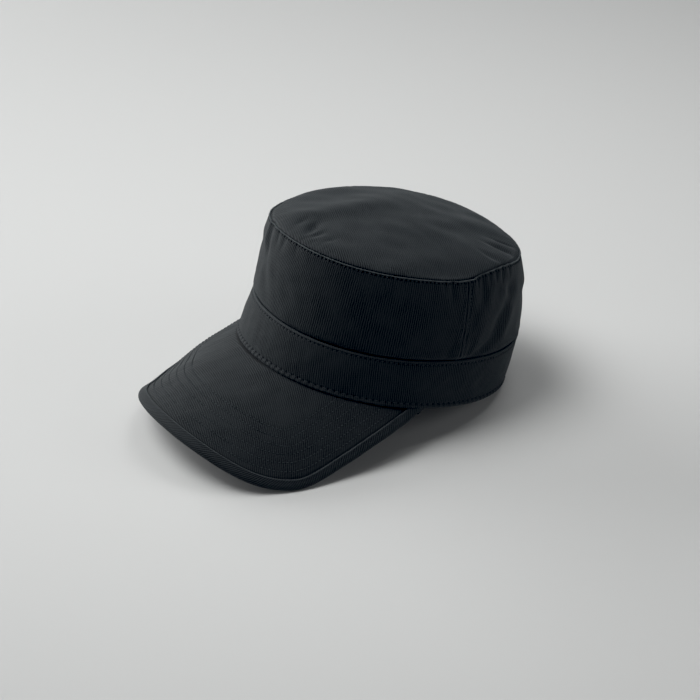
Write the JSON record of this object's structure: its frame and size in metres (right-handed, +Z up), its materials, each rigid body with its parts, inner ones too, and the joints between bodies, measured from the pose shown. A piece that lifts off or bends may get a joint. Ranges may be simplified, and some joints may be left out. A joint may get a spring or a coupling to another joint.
{
  "type": "military cap",
  "caption": "Flat-topped cloth military cap with a banded crown, domed top panel and an arched, bound stiff peak.",
  "frame": {"origin": "on the surface that the cap rests on, under the centre of its bounding box", "axes": "+Z up, the peak points to -Y, +X is the wearer's left"},
  "size_m": [0.189, 0.2896, 0.1411],
  "materials": {
    "crown_twill": "matt near-black cotton twill",
    "band_twill": "matt near-black cotton twill",
    "peak_twill": "matt near-black cotton twill over board",
    "binding_twill": "matt near-black bias-cut twill strip"
  },
  "bodies": {
    "root": {"crown_top": "crown_twill", "crown_front_panel": "crown_twill", "crown_back_panel": "crown_twill", "band": "band_twill", "peak": "peak_twill", "peak_binding": "binding_twill"}
  },
  "joints": []
}
